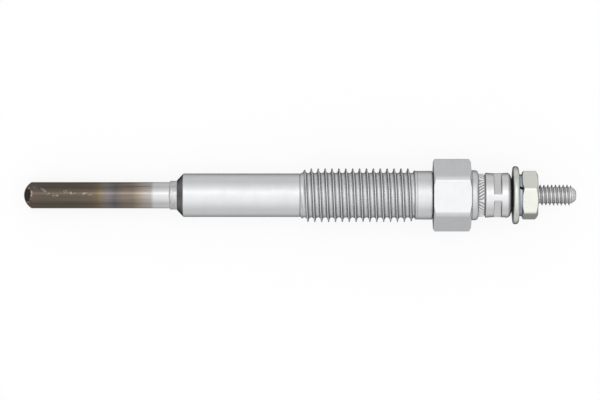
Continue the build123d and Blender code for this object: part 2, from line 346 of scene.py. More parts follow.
@dataclass(frozen=True)
class Finish:
    """One finish of the plug, which a material slot of the record names.

    Attributes:
        slot: The record's material slot.
        colour: The colour that shows most.
        shade: The darker colour of its broad clouds.
        roughness: The middle of its roughness.
        metallic: How much of it is bare metal.
        grain: How the surface was worked.
        depth: How deep its marks are, in mm.
        rim: How much of its colour a metal keeps at a grazing angle.
        clouds: Its broad clouds.
        cloud_share: How much of the darker colour the clouds bring.
        mark_share: How much of it the marks bring.
        clear_share: How much of it is held back everywhere.
        cloud_roughness: How much rougher the clouds are.
        mark_roughness: How much rougher the marks are.
        scratches: Fine scratches that run across the grain.
        scratch_gaps: Where the scratches show.
        scratch_gloss: How much smoother a scratch is.
        scratch_depth: How deep it is, as a share of the marks.
    """

    slot: str
    colour: Colour
    shade: Colour
    roughness: float
    metallic: float = 1.0
    grain: Grain = Grain.TURNED
    depth: float = 0.004
    rim: float = 0.02
    clouds: Pattern = Pattern(0.45, 3.0, 0.55)
    cloud_share: float = 0.75
    mark_share: float = 0.45
    clear_share: float = 0.1
    cloud_roughness: float = 0.12
    mark_roughness: float = 0.14
    scratches: Pattern = Pattern(
        1.0, 1.0, stretch=(0.35, 6.0, 6.0), turn=(0.5, 0.35, 0.9), edges=(0.66, 0.72)
    )
    scratch_gaps: Pattern = Pattern(0.8, 1.0, offset=(7.0, 3.0, 5.0), edges=(0.48, 0.6))
    scratch_gloss: float = 0.06
    scratch_depth: float = 0.5

    def coloured(self, at: Spot, marks: Shade, clouds: Shade) -> Shade:
        """Give the colour at a point.

        Args:
            at: The point.
            marks: The marks of working there.
            clouds: The broad clouds there.

        Returns:
            The colour, darker in the clouds and the marks.
        """
        darker = clouds * self.cloud_share + marks * self.mark_share - self.clear_share
        return at.graph.mix(self.colour, self.shade, darker.held())

    def raised(self, at: Spot, height: Shade) -> Shade:
        """Add what only this finish has to its height at a point."""
        return height

    def roughened(self, at: Spot, roughness: Shade) -> Shade:
        """Add what only this finish has to its roughness at a point."""
        return roughness

    def material(self) -> bpy.types.Material:
        """Build the material.

        Returns:
            The material, named after its slot.
        """
        material = bpy.data.materials.new(self.slot)
        graph = Graph(material)
        at = Spot(graph)
        marks, clouds = at.noise(self.grain.value), at.noise(self.clouds)
        scratches = at.patches(self.scratches) * at.patches(self.scratch_gaps)
        roughness = self.roughness + (marks - 0.5) * self.mark_roughness
        roughness = roughness + (clouds - 0.5) * self.cloud_roughness - scratches * self.scratch_gloss
        height = self.raised(at, marks - scratches * self.scratch_depth)
        surface = graph.node(
            "ShaderNodeBsdfPrincipled",
            sockets={
                "Base Color": self.coloured(at, marks, clouds),
                "Metallic": self.metallic,
                "Roughness": self.roughened(at, roughness).held(),
                "Specular Tint": (self.rim, self.rim, self.rim, 1.0),
                "Normal": graph.node(
                    "ShaderNodeBump",
                    sockets={"Strength": 1.0, "Distance": self.depth * MM, "Height": height},
                ),
            },
        )
        graph.node("ShaderNodeOutputMaterial", sockets={"Surface": surface})
        return material


@dataclass(frozen=True)
class PlatedSteel(Finish):
    """The housing's plate, with painted shade on the sealing cone and painted shade in the groove by the
    hexagon.

    Attributes:
        seat_shade: The darker colour painted on the cone as shade.
        seat_edge: Where the cone's painted shade starts along the axis, and where it is full.
        groove_shade: The colour of the painted shade in the groove.
        groove_x: Where the groove lies along the axis.
        groove_reach: How far from there the groove is unshaded, and how far it is fully shaded.
        groove_radius: The radius at which it is unshaded, and the one at which it is fully shaded.
        hexagon_radius: Between which radii the hexagon begins, which wasn't turned.
        hexagon_calm: How much lower the marks are on the hexagon.
        hexagon_gloss: How much smoother the hexagon is.
    """

    seat_shade: Colour = grey(108)
    seat_edge: Pair = (0.0, -0.12)
    groove_shade: Colour = grey(67)
    groove_x: float = 45.2
    groove_reach: Pair = (0.3, 0.12)
    groove_radius: Pair = (4.3, 4.15)
    hexagon_radius: Pair = (5.0, 5.1)
    hexagon_calm: float = 0.8
    hexagon_gloss: float = 0.1

    def coloured(self, at: Spot, marks: Shade, clouds: Shade) -> Shade:
        """Paint shade on the cone and in the groove.

        Args:
            at: The point.
            marks: The marks of working there.
            clouds: The broad clouds there.

        Returns:
            The colour.
        """
        plate = super().coloured(at, marks, clouds)
        # painted shade: the sealing cone gets a darker colour for the dark surroundings that it mirrors
        plate = at.graph.mix(plate, self.seat_shade, at.x.step(*self.seat_edge))
        # painted shade: the groove by the hexagon is darkened where shade falls in it
        in_groove = abs(at.x - self.groove_x).step(*self.groove_reach)
        return at.graph.mix(plate, self.groove_shade, in_groove * at.radius().step(*self.groove_radius))

    def raised(self, at: Spot, height: Shade) -> Shade:
        """Leave the hexagon's marks lower than what was turned."""
        return height * (1.0 - self.hexagon_calm * at.radius().step(*self.hexagon_radius))

    def roughened(self, at: Spot, roughness: Shade) -> Shade:
        """Leave the hexagon glossier than what was turned."""
        return roughness - at.radius().step(*self.hexagon_radius) * self.hexagon_gloss


@dataclass(frozen=True)
class WornSteel(Finish):
    """The rod's steel, dented at its lead end.

    Attributes:
        worn_x: Between which places along the axis the dents begin.
        dents: The dents.
        dent_depth: How many times deeper than the marks they are.
    """

    worn_x: Pair = (70.2, 70.5)
    dents: Pattern = Pattern(2.8)
    dent_depth: float = 50.0

    def raised(self, at: Spot, height: Shade) -> Shade:
        """Add the dents."""
        return height + at.noise(self.dents) * self.dent_depth * at.x.step(*self.worn_x)


@dataclass(frozen=True)
class Knurled(Finish):
    """The insulator's finish, with painted shade in the grooves of its knurl.

    Attributes:
        groove_shade: The colour of the painted shade in the grooves.
        shade_radius: The radius at which a groove is fully shaded, and the one at which it is unshaded.
    """

    groove_shade: Colour = grey(151)
    shade_radius: Pair = (3.7, 3.88)

    def coloured(self, at: Spot, marks: Shade, clouds: Shade) -> Shade:
        """Paint shade into the grooves."""
        # painted shade: the knurl's grooves are darkened where shade falls in them
        return at.graph.mix(self.groove_shade, super().coloured(at, marks, clouds), at.radius().step(*self.shade_radius))


@dataclass(frozen=True)
class HeatTint(Finish):
    """The sheath: burnt brown in front, with blue, bronze and straw bands up to the bright steel.

    Places along the sheath are given as distances from its tip, in mm.

    Attributes:
        tip: Where the tip is along the axis.
        radius: The sheath's radius.
        bands: The tints, each at its place.
        bright: Where the steel is bright, from its shade to its colour.
        burnt: Where the burn ends, and where it is full.
        wavy: Where the bands are straight, and where they wander fully.
        wander: How far the bands wander.
        drift: The pattern that they wander by.
        streaks: Streaks along the burnt part.
        dark_streak: The colour of its dark streaks.
        dark_from: The value over which a streak is dark.
        dark_gain: How fast it darkens.
        pale_streak: The colour of its pale streaks.
        pale_from: The value under which a streak is pale.
        pale_gain: How fast it gets paler.
        soot_colour: The colour of the soot.
        soot_spot: The middle of the soot, as its place, across and up.
        soot_run: How much less a distance counts downwards, where the soot ran over the nose.
        soot_rags: The pattern that frays the soot.
        soot_fray: How far the soot is frayed.
        soot_edge: Where the soot ends on top, and where it is full, from its middle.
        soot_fade: The same below, where it fades.
        soot_top: Between which heights its top begins.
        fleck_colour: The colour of the flecks round the soot.
        fleck_share: How much of that colour they show.
        fleck_start: Between which distances from the soot's middle the flecks begin.
        fleck_end: Where they end, and where they are full.
        fleck_height: Between which heights they begin.
        flecks: The pattern of the flecks.
        collar: Where the collar is plain, and where it is marked.
        mottle: The collar's mottle.
        mottle_colour: Its colour.
        mottle_share: How much of that colour it shows.
        dents: The collar's dents.
        dent_depth: How many times deeper than the marks they are.
        strokes: The scuffs, each from one place and turn to another, with the turns in degrees.
        scuff_colour: The colour of the scuffs.
        scuff_share: How much of that colour they show.
        scuff_width: How far a scuff reaches to each side.
        scuff_gaps: Where the scuffs show.
        sway: The pattern that they sway by along the sheath.
        sway_along: How far that is.
        swing: The pattern that they sway by round it.
        sway_around: How far that is.
        burnt_gloss: How much smoother the burnt part is.
    """

    tip: float = -28.95
    radius: float = 2.39
    bands: tuple[tuple[float, Colour], ...] = (
        (0.0, paint(82, 74, 68)),
        (1.6, paint(88, 78, 72)),
        (3.4, paint(84, 77, 68)),
        (9.4, paint(85, 78, 68)),
        (12.4, paint(93, 82, 73)),
        (13.3, paint(99, 88, 72)),
        (14.1, paint(109, 101, 83)),
        (15.2, paint(111, 104, 106)),
        (16.6, paint(93, 90, 91)),
        (18.1, paint(112, 102, 93)),
        (19.8, paint(116, 106, 96)),
        (20.9, paint(136, 127, 115)),
        (21.7, paint(148, 140, 133)),
        (23.1, paint(156, 152, 150)),
    )
    bright: Pair = (23.6, 30.0)
    burnt: Pair = (24.0, 22.0)
    wavy: Pair = (24.0, 20.0)
    wander: float = 0.7
    drift: Pattern = Pattern(0.5)
    streaks: Pattern = Pattern(1.0, 4.0, 0.65, stretch=(0.06, 2.6, 2.6))
    dark_streak: Colour = paint(60, 53, 47)
    dark_from: float = 0.5
    dark_gain: float = 2.0
    pale_streak: Colour = paint(137, 126, 115)
    pale_from: float = 0.42
    pale_gain: float = 1.6
    soot_colour: Colour = paint(56, 48, 43)
    soot_spot: Triple = (0.45, 0.1, 1.6)
    soot_run: float = 0.5
    soot_rags: Pattern = Pattern(1.3, 3.0)
    soot_fray: float = 0.9
    soot_edge: Pair = (1.25, 1.05)
    soot_fade: Pair = (1.5, 0.5)
    soot_top: Pair = (0.5, 1.3)
    fleck_colour: Colour = paint(166, 156, 146)
    fleck_share: float = 0.75
    fleck_start: Pair = (1.05, 1.2)
    fleck_end: Pair = (1.55, 1.25)
    fleck_height: Pair = (1.0, 1.6)
    flecks: Pattern = Pattern(2.2, edges=(0.42, 0.6))
    collar: Pair = (26.3, 26.6)
    mottle: Pattern = Pattern(3.2, 3.0, 0.65, edges=(0.36, 0.6))
    mottle_colour: Colour = paint(162, 158, 156)
    mottle_share: float = 0.7
    dents: Pattern = Pattern(2.4)
    dent_depth: float = 6.0
    strokes: tuple[Stroke, ...] = (
        (1.5, 51.0, 2.4, 53.0),
        (3.4, 56.0, 3.6, 64.0),
        (3.6, 64.0, 4.5, 82.0),
        (5.4, 86.0, 6.3, 90.0),
        (6.9, 76.0, 8.0, 71.0),
        (8.6, 77.0, 9.2, 79.0),
        (10.9, 82.0, 12.4, 84.0),
    )
    scuff_colour: Colour = paint(135, 127, 119)
    scuff_share: float = 0.7
    scuff_width: float = 0.3
    scuff_gaps: Pattern = Pattern(2.4, edges=(0.4, 0.56))
    sway: Pattern = Pattern(1.7, 3.0, 0.7)
    sway_along: float = 0.7
    swing: Pattern = Pattern(2.1, offset=(9.0, 4.0, 2.0))
    sway_around: float = 0.6
    burnt_gloss: float = 0.16

    def coloured(self, at: Spot, marks: Shade, clouds: Shade) -> Shade:
        """Lay the heat tints, the soot, the collar's mottle and the scuffs over each other.

        Args:
            at: The point.
            marks: The marks of working there, which the tints hide.
            clouds: The broad clouds there, which they hide too.

        Returns:
            The colour.
        """
        from_tip = at.x - self.tip
        colour = self.sooted(at, self.banded(at, from_tip))
        mottle = at.patches(self.mottle) * from_tip.step(*self.collar)
        colour = at.graph.mix(colour, self.mottle_colour, mottle * self.mottle_share)
        return at.graph.mix(colour, self.scuff_colour, self.scuffed(at, from_tip) * self.scuff_share)

    def banded(self, at: Spot, from_tip: Shade) -> Shade:
        """Give the heat tints, with streaks where the sheath is burnt.

        Args:
            at: The point.
            from_tip: Its distance from the tip along the sheath.

        Returns:
            The tint there.
        """
        start, reach = self.bright
        bands = (*self.bands, (start, self.shade), (reach, self.colour))
        drift = (at.noise(self.drift) - 0.5) * self.wander * from_tip.step(*self.wavy)
        stops = [(distance / reach, tint) for distance, tint in bands]
        place = (from_tip + drift) / reach
        tint = at.graph.node("ShaderNodeValToRGB", {"stops": stops}, {"Fac": place})
        streaks, burnt = at.noise(self.streaks), from_tip.step(*self.burnt)
        dark = (streaks - self.dark_from).held() * self.dark_gain
        pale = (self.pale_from - streaks).held() * self.pale_gain
        tint = at.graph.mix(tint, self.dark_streak, dark * burnt)
        return at.graph.mix(tint, self.pale_streak, pale * burnt)

    def sooted(self, at: Spot, tint: Shade) -> Shade:
        """Lay the soot over the nose, with light flecks round its rim on top.

        Args:
            at: The point.
            tint: The tint there.

        Returns:
            The tint with the soot.
        """
        soot = self.from_soot(at)
        rim = soot.step(*self.fleck_start) * soot.step(*self.fleck_end)
        flecks = at.patches(self.flecks) * at.z.step(*self.fleck_height)
        tint = at.graph.mix(tint, self.fleck_colour, rim * flecks * self.fleck_share)
        top = at.z.step(*self.soot_top)
        burn = soot.step(*self.soot_edge) * top + soot.step(*self.soot_fade) * (1.0 - top)
        return at.graph.mix(tint, self.soot_colour, burn)

    def from_soot(self, at: Spot) -> Shade:
        """Give the distance from the soot, which runs down over the nose from its spot on top.

        Args:
            at: The point.

        Returns:
            The frayed distance, in mm.
        """
        spot_x, spot_y, spot_z = self.soot_spot
        rise = at.z - spot_z
        below = rise.least(0.0)
        parts = (at.x - (self.tip + spot_x), at.y - spot_y, rise - below, below * self.soot_run)
        squares = [part**2.0 for part in parts]
        return sum(squares[1:], squares[0]) ** 0.5 + (at.noise(self.soot_rags) - 0.5) * self.soot_fray

    def scuffed(self, at: Spot, from_tip: Shade) -> Shade:
        """Give the light wandering scuffs on the front of the sheath.

        Args:
            at: The point.
            from_tip: Its distance from the tip along the sheath.

        Returns:
            1 on a scuff, and 0 beside it.
        """
        along = from_tip + (at.noise(self.sway) - 0.5) * self.sway_along
        around = at.z.angle_over(at.y) * self.radius + (at.noise(self.swing) - 0.5) * self.sway_around
        nearest = reduce(Shade.least, [self.gap(along, around, stroke) for stroke in self.strokes])
        return nearest.step(self.scuff_width**2, 0.0) * at.patches(self.scuff_gaps)

    def gap(self, along: Shade, around: Shade, stroke: Stroke) -> Shade:
        """Give how far a point on the sheath is from one stroke.

        Args:
            along: The point's distance from the tip along the sheath.
            around: Its distance from +Y round the sheath.
            stroke: The stroke.

        Returns:
            The square of the distance.
        """
        start, start_turn, end, end_turn = stroke
        foot = math.radians(start_turn) * self.radius
        run, rise = end - start, math.radians(end_turn) * self.radius - foot
        share = ((along - start) * run + (around - foot) * rise) * (1 / (run**2 + rise**2))
        share = share.held()
        return (along - start - share * run) ** 2.0 + (around - foot - share * rise) ** 2.0

    def raised(self, at: Spot, height: Shade) -> Shade:
        """Dent the collar where it was pressed into the housing."""
        return height + at.noise(self.dents) * self.dent_depth * (at.x - self.tip).step(*self.collar)

    def roughened(self, at: Spot, roughness: Shade) -> Shade:
        """Leave the burnt part glossier than the bright one."""
        return roughness - (at.x - self.tip).step(*self.burnt) * self.burnt_gloss


@dataclass
class Outline:
    """A turned outline in the plane of the axis, drawn corner by corner.

    Attributes:
        corners: Each corner's place along the axis, its radius from the axis and its rounding.
        arc_steps: How many edges stand for an arc.
        arc_share: The largest share of an edge that a rounding takes up.
        guard: How far from its ends a long edge has a point that keeps its shading straight.
        long_edge: From which length an edge has such points.
    """

    corners: list[tuple[float, float, float]] = field(default_factory=list)
    arc_steps: int = 4
    arc_share: float = 0.48
    guard: float = 0.05
    long_edge: float = 0.4

    def to(self, x: float, radius: float, rounding: float = 0.0) -> "Outline":
        """Go on to a corner.

        Args:
            x: Where it is along the axis.
            radius: How far it is from the axis.
            rounding: The radius that it is rounded with.

        Returns:
            The outline itself, so that corners follow each other.
        """
        self.corners.append((x, radius, rounding))
        return self

    def points(self) -> Points:
        """Give the outline's points.

        Returns:
            The points, with long edges held straight up to their ends.
        """
        found: Points = []
        for point in self._rounded():
            last = found[-1] if found else point
            run = math.dist(last, point)
            if run > self.long_edge:
                step = ((point[0] - last[0]) * self.guard / run, (point[1] - last[1]) * self.guard / run)
                found.append((last[0] + step[0], last[1] + step[1]))
                found.append((point[0] - step[0], point[1] - step[1]))
            found.append(point)
        return found

    def _rounded(self) -> Points:
        """Give the outline's corners.

        Returns:
            The points, with an arc for each rounded corner.
        """
        found: Points = []
        for number, (x, radius, rounding) in enumerate(self.corners):
            if not rounding:
                found.append((x, radius))
                continue
            here = np.array((x, radius))
            before = np.array(self.corners[number - 1][:2]) - here
            after = np.array(self.corners[number + 1][:2]) - here
            found += self._arc(here, before, after, rounding)
        return found

    def _arc(
        self, here: np.ndarray, before: np.ndarray, after: np.ndarray, rounding: float
    ) -> Points:
        """Round one corner.

        Args:
            here: The corner.
            before: The way from it to the corner before.
            after: The way from it to the corner after.
            rounding: The radius that is wanted, which short edges make smaller.

        Returns:
            The arc's points.
        """
        edges = float(np.linalg.norm(before)), float(np.linalg.norm(after))
        back, ahead = before / edges[0], after / edges[1]
        half = math.acos(float(np.clip(back @ ahead, -1.0, 1.0))) / 2
        reach = min(rounding / math.tan(half), self.arc_share * min(edges))
        middle = (back + ahead) / np.linalg.norm(back + ahead)
        centre = here + middle * reach / math.cos(half)
        start, end = here + back * reach - centre, here + ahead * reach - centre
        sweep = math.pi - 2 * half
        arc = []
        for share in np.linspace(0.0, 1.0, self.arc_steps + 1):
            spoke = start * math.sin(sweep * (1 - share)) + end * math.sin(sweep * share)
            arc.append(tuple(centre + spoke / math.sin(sweep)))
        return arc


def lower_of(first: np.ndarray, second: np.ndarray | float, round_over: float) -> np.ndarray:
    """Take the smaller of two radii, with the edge between them rounded over.

    Args:
        first: The first radius, for each angle.
        second: The second radius.
        round_over: How far the edge is softened, in mm.

    Returns:
        The softened minimum.
    """
    gap = np.clip(0.5 + 0.5 * (second - first) / round_over, 0.0, 1.0)
    return second * (1 - gap) + first * gap - round_over * gap * (1 - gap)


def ripple(angles: np.ndarray, waves: Waves) -> np.ndarray:
    """Add up waves that run round the axis.

    Args:
        angles: The angles at which they are read.
        waves: Each wave's height, how often it repeats in a turn, and its phase.

    Returns:
        Their sum, for each angle.
    """
    return sum(height * np.sin(count * angles + phase) for height, count, phase in waves)


def even_columns(count: int) -> np.ndarray:
    """Give the angles of evenly spaced columns over one full turn, in radians."""
    return np.linspace(0.0, FULL_TURN, count + 1)


def flat_columns(sides: int, turn: float, fine: Sequence[float]) -> np.ndarray:
    """Give the angles of a skin whose columns follow a piece with flat sides.

    Args:
        sides: How many flat sides there are.
        turn: Where the columns are counted from, in degrees.
        fine: The columns from there up to half a side away, in degrees.

    Returns:
        The angles, in radians, over one full turn.
    """
    near = sorted({sign * value for value in fine for sign in (-1.0, 1.0)})[:-1]
    degrees = sorted(turn + 360.0 / sides * side + value for side in range(sides) for value in near)
    return np.radians([*degrees, degrees[0] + 360.0])


@dataclass
class Skin:
    """Rings of points round the plug's axis, which are joined into one closed mesh.

    Attributes:
        angles: The angle of each column, in radians.
        rings: For each ring, where its points are along the axis and how far from it.
        spread: For each ring, the angle of each of its points.
    """

    angles: np.ndarray
    rings: list[tuple[np.ndarray, np.ndarray]] = field(default_factory=list)
    spread: list[np.ndarray] = field(default_factory=list)

    def ring(
        self, x: np.ndarray | float, radius: np.ndarray | float, angles: np.ndarray | None = None
    ) -> None:
        """Add a ring.

        Args:
            x: Where the ring is along the axis, once or for each angle.
            radius: Its radius, once or for each angle.
            angles: Its own angles, where they aren't those of the skin.
        """
        shape = self.angles.shape
        self.rings.append((np.broadcast_to(x, shape), np.broadcast_to(radius, shape)))
        self.spread.append(self.angles if angles is None else angles)

    def follow(self, points: Points) -> None:
        """Add a plain ring for each point of an outline."""
        for x, radius in points:
            self.ring(x, radius)

    def mesh(self, name: str, closed: bool) -> bpy.types.Mesh:
        """Join the rings into a mesh, in metres.

        Args:
            name: The mesh's name.
            closed: Whether the last ring is joined to the first, as on a piece with a bore.

        Returns:
            The mesh, with its edges sharp or smooth by their angle.
        """
        along = np.array([ring[0] for ring in self.rings])
        radii = np.array([ring[1] for ring in self.rings])
        turns = np.array(self.spread)
        points = np.stack((along, radii * np.cos(turns), radii * np.sin(turns)), axis=-1)
        rows, columns = along.shape
        number = np.arange(rows * columns).reshape(rows, columns)
        faces = []
        for row in range(rows if closed else rows - 1):
            here, there = number[row], number[(row + 1) % rows]
            faces += list(zip(here[:-1], here[1:], there[1:], there[:-1]))
        if not math.isclose(self.angles[-1] - self.angles[0], FULL_TURN):
            faces += [tuple(number[:, 0]), tuple(number[::-1, -1])]
        mesh = bpy.data.meshes.new(name)
        faces = [tuple(int(corner) for corner in face) for face in faces]
        mesh.from_pydata((points.reshape(-1, 3) * MM).tolist(), [], faces)
        self._tidy(mesh)
        return mesh

    @staticmethod
    def _tidy(mesh: bpy.types.Mesh) -> None:
        """Merge the points that meet, turn the faces outwards and mark the sharp edges.

        Args:
            mesh: The mesh, in metres.
        """
        work = bmesh.new()
        work.from_mesh(mesh)
        bmesh.ops.remove_doubles(work, verts=work.verts, dist=MERGE_DISTANCE * MM)
        bmesh.ops.dissolve_degenerate(work, edges=work.edges, dist=THINNEST_EDGE * MM)
        bmesh.ops.recalc_face_normals(work, faces=work.faces)
        for face in work.faces:
            face.smooth = True
        work.to_mesh(mesh)
        work.free()
        mesh.set_sharp_from_angle(angle=SHARP_EDGE)


@dataclass(frozen=True)
class Thread:
    """A right-hand thread with narrow crests, steep flanks and round roots.

    Attributes:
        pitch: How far it advances in one turn.
        crest: The radius of its crests.
        root: The radius of its roots.
        crest_flat: The width of the flat strip along its crests.
        crest_round: The radius that the edges of its crests are rounded with.
        root_flat: The width of the flat strip along its roots.
        flank: The angle between a flank and the plane across the axis, in degrees.
        crest_x: Where a crest is along the axis, straight out at +Y.
        arc_steps: How many edges stand for each rounding.
    """

    pitch: float
    crest: float
    root: float
    crest_flat: float
    crest_round: float
    root_flat: float
    flank: float
    crest_x: float
    arc_steps: int = 4

    def section(self) -> Points:
        """Draw one turn's section.

        Returns:
            Its points, as distances past a crest and radii.
        """
        lean = math.radians(self.flank)
        sine, cosine = math.sin(lean), math.cos(lean)
        edge, foot = self.crest_flat / 2, (self.pitch - self.root_flat) / 2
        run = foot - edge - self.crest_round * cosine
        drop = self.crest - self.root - self.crest_round * (1 - sine)
        flank = (drop * cosine - run * (1 - sine)) / (1 - sine)
        root_round = (run - flank * sine) / cosine
        turns = np.linspace(0.0, math.pi / 2 - lean, self.arc_steps + 1)
        half = [(0.0, self.crest)]
        for turn in turns:
            fall = self.crest_round * (1 - math.cos(turn))
            half.append((edge + self.crest_round * math.sin(turn), self.crest - fall))
        for turn in turns[::-1]:
            rise = root_round * (1 - math.cos(turn))
            half.append((foot - root_round * math.sin(turn), self.root + rise))
        return half + [(self.pitch - past, radius) for past, radius in half[:0:-1]]

    def wind(
        self,
        skin: Skin,
        start: float,
        end: float,
        limit: Callable[[np.ndarray], np.ndarray],
        base: Callable[[np.ndarray], np.ndarray],
    ) -> None:
        """Add the thread's rings to a skin.

        Args:
            skin: The skin that takes the rings.
            start: Where the thread starts along the axis.
            end: Where it ends.
            limit: The largest radius at a place along the axis.
            base: The smallest radius at a place along the axis.
        """
        first = math.floor((start - self.crest_x) / self.pitch) - 1
        last = math.ceil((end - self.crest_x) / self.pitch) + 1
        lead = self.pitch * skin.angles / FULL_TURN
        for turn in range(first, last):
            for past, radius in self.section():
                free = self.crest_x + self.pitch * turn + past + lead
                if free.max() < start or free.min() > end:
                    continue
                x = np.clip(free, start, end)
                skin.ring(x, np.maximum(np.minimum(radius, limit(x)), base(x)))


@dataclass(frozen=True)
class Hexagon:
    """A hexagon with turned corners and chamfered ends.

    Attributes:
        width: Its width across the flats.
        corners: The diameter that its corners are turned to.
        turn: The angle of one of its corners round the axis, in degrees.
        front_face: The diameter of its front face, where the chamfer ends.
        back_face: The diameter of its back face.
        edge: How far its edges are rounded over, in mm.
        fine: Its columns from a corner to the middle of a flat, in degrees.
        chamfer: The angle of the chamfers, in degrees.
        chamfer_round: How far the chamfer's own edge is rounded, as a share of the other edges.
        lip: How thick the rounding round a face is without a chamfer, as a share of the same.
        lip_growth: How fast it gets thicker with the chamfer's depth, and its largest share.
    """

    width: float
    corners: float
    turn: float
    front_face: float
    back_face: float
    edge: float
    fine: tuple[float, ...]
    chamfer: float = 30.0
    chamfer_round: float = 0.6
    lip: float = 0.3
    lip_growth: float = 0.4

    def columns(self) -> np.ndarray:
        """Give the angles of a skin whose columns follow the hexagon's corners."""
        return flat_columns(6, self.turn, self.fine)

    def outline(self, angles: np.ndarray) -> np.ndarray:
        """Draw the hexagon across the axis.

        Args:
            angles: The angles at which it is wanted.

        Returns:
            Its radius at each of them.
        """
        sector = FULL_TURN / 6
        from_corner = np.mod(angles - math.radians(self.turn) + sector / 2, sector) - sector / 2
        flat = self.width / 2 / np.cos(sector / 2 - np.abs(from_corner))
        return lower_of(flat, self.corners / 2, self.edge)

    def raise_on(self, skin: Skin, start: float, end: float) -> None:
        """Add the hexagon's rings to a skin.

        Args:
            skin: The skin that takes the rings.
            start: Where the hexagon starts along the axis.
            end: Where it ends.
        """
        radius = self.outline(skin.angles)
        slope = math.tan(math.radians(self.chamfer))
        edge = self.edge
        for face, origin, side in ((self.front_face, start, 1.0), (self.back_face, end, -1.0)):
            near = np.minimum(radius, face / 2)
            depth = np.maximum(radius - face / 2, 0.0) * slope
            lip = np.minimum(self.lip_growth * edge, self.lip_growth * depth + self.lip * edge)
            rings = [(origin, near - edge / 2), (origin + side * lip, near)]
            for past in (-edge, 0.0, edge, 3 * edge):
                x = np.maximum(depth + past, edge / 2)
                cone = face / 2 + x / slope
                rings.append((origin + side * x, lower_of(radius, cone, self.chamfer_round * edge)))
            for x, ring in rings if side > 0 else reversed(rings):
                skin.ring(x, ring)


def add_object(name: str, data: bpy.types.ID) -> bpy.types.Object:
    """Put data in the scene as an object.

    Args:
        name: The object's name.
        data: Its mesh, light or camera.

    Returns:
        The object.
    """
    thing = bpy.data.objects.new(name, data)
    bpy.context.scene.collection.objects.link(thing)
    return thing


def add_piece(mesh: bpy.types.Mesh, finish: Finish, node: str) -> None:
    """Put a mesh in the scene as a piece that stands for a solid.

    Args:
        mesh: Its mesh, in metres in the plug's own frame, which gives the piece its name.
        finish: Its finish.
        node: The solid's node.
    """
    piece = add_object(mesh.name, mesh)
    mesh.materials.append(finish.material())
    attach(piece, PLUG_BODY)
    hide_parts(node)
    LOG.info("%s: %d faces, for %s", piece.name, len(mesh.polygons), node)


def dress_solid(node: str, finish: Finish) -> None:
    """Give a solid that keeps its own shape its finish.

    Args:
        node: The solid's node.
        finish: Its finish.
    """
    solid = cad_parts[node]
    if not solid.material_slots:
        solid.data.materials.append(None)
    material = finish.material()
    for place in solid.material_slots:
        place.material = material
    LOG.info("%s: keeps its solid", node)


def span(node: str) -> tuple[float, float]:
    """Give where a node starts and ends along the axis, in millimetres."""
    low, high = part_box(node)
    return low.x / MM, high.x / MM


